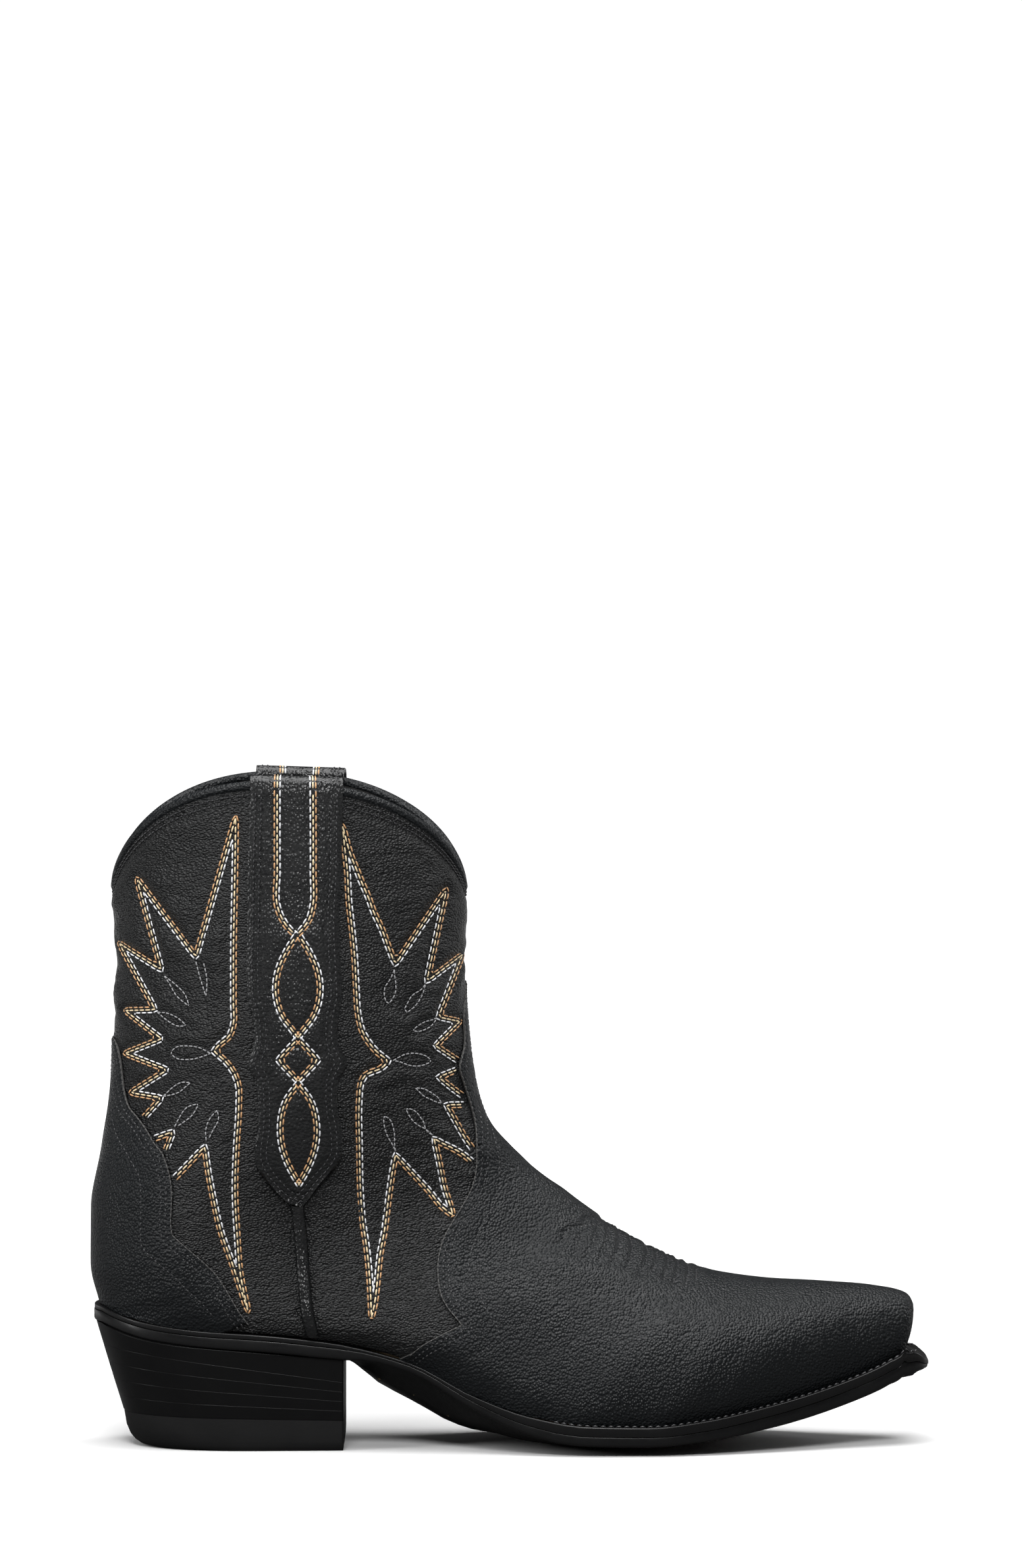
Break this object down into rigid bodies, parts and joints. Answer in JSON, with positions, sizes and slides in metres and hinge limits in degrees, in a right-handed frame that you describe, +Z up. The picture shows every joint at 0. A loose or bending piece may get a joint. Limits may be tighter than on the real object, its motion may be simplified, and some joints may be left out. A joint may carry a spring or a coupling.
{
  "type": "cowboy ankle boot",
  "caption": "Black leather western ankle boot with a scalloped top, pull straps, stitched shaft, snipped toe and stacked underslung heel.",
  "frame": {"origin": "middle of the boot's box, on the ground under it", "axes": "+X to the toe, +Y to the inner (medial) side, +Z up; it stands on its heel cap and the ball of its sole"},
  "size_m": [0.2908, 0.0898, 0.2348],
  "materials": {
    "vamp_leather": "satin, fine pebble grain",
    "shaft_leather": "soft satin",
    "lining_leather": "matt",
    "interlining_canvas": "matt",
    "stiffener_board": "matt",
    "sole_leather": "burnished",
    "lift_leather": "burnished",
    "cap_rubber": "matt",
    "insole_board": "matt",
    "cork": "matt",
    "spring_steel": "brushed",
    "brass_nail": "bright",
    "peg_wood": "matt",
    "stitch_thread": "silky"
  },
  "bodies": {
    "root": {"vamp": "vamp_leather", "counter_cover": "vamp_leather", "topline_binding": "vamp_leather", "side_seam_strip_lateral": "vamp_leather", "side_seam_strip_medial": "vamp_leather", "back_shaft_panel": "shaft_leather", "front_shaft_panel": "shaft_leather", "pull_strap_lateral": "shaft_leather", "pull_strap_medial": "shaft_leather", "back_shaft_lining": "lining_leather", "front_shaft_lining": "lining_leather", "vamp_lining": "lining_leather", "sock_liner": "lining_leather", "vamp_interlining": "interlining_canvas", "heel_stiffener": "stiffener_board", "toe_box_stiffener": "stiffener_board", "outsole": "sole_leather", "welt": "sole_leather", "heel_seat_rand": "sole_leather", "heel_lift_1": "lift_leather", "heel_lift_2": "lift_leather", "heel_lift_3": "lift_leather", "heel_lift_4": "lift_leather", "heel_lift_5": "lift_leather", "heel_cap": "cap_rubber", "insole": "insole_board", "cork_filler": "cork", "steel_shank": "spring_steel", "heel_nail_1": "brass_nail", "heel_nail_2": "brass_nail", "heel_nail_3": "brass_nail", "heel_nail_4": "brass_nail", "cap_nail_1": "brass_nail", "cap_nail_2": "brass_nail", "cap_nail_3": "brass_nail", "cap_nail_4": "brass_nail", "cap_nail_5": "brass_nail", "shank_peg_lateral_1": "peg_wood", "shank_peg_lateral_2": "peg_wood", "shank_peg_lateral_3": "peg_wood", "shank_peg_medial_1": "peg_wood", "shank_peg_medial_2": "peg_wood", "shank_peg_medial_3": "peg_wood"}
  },
  "joints": []
}
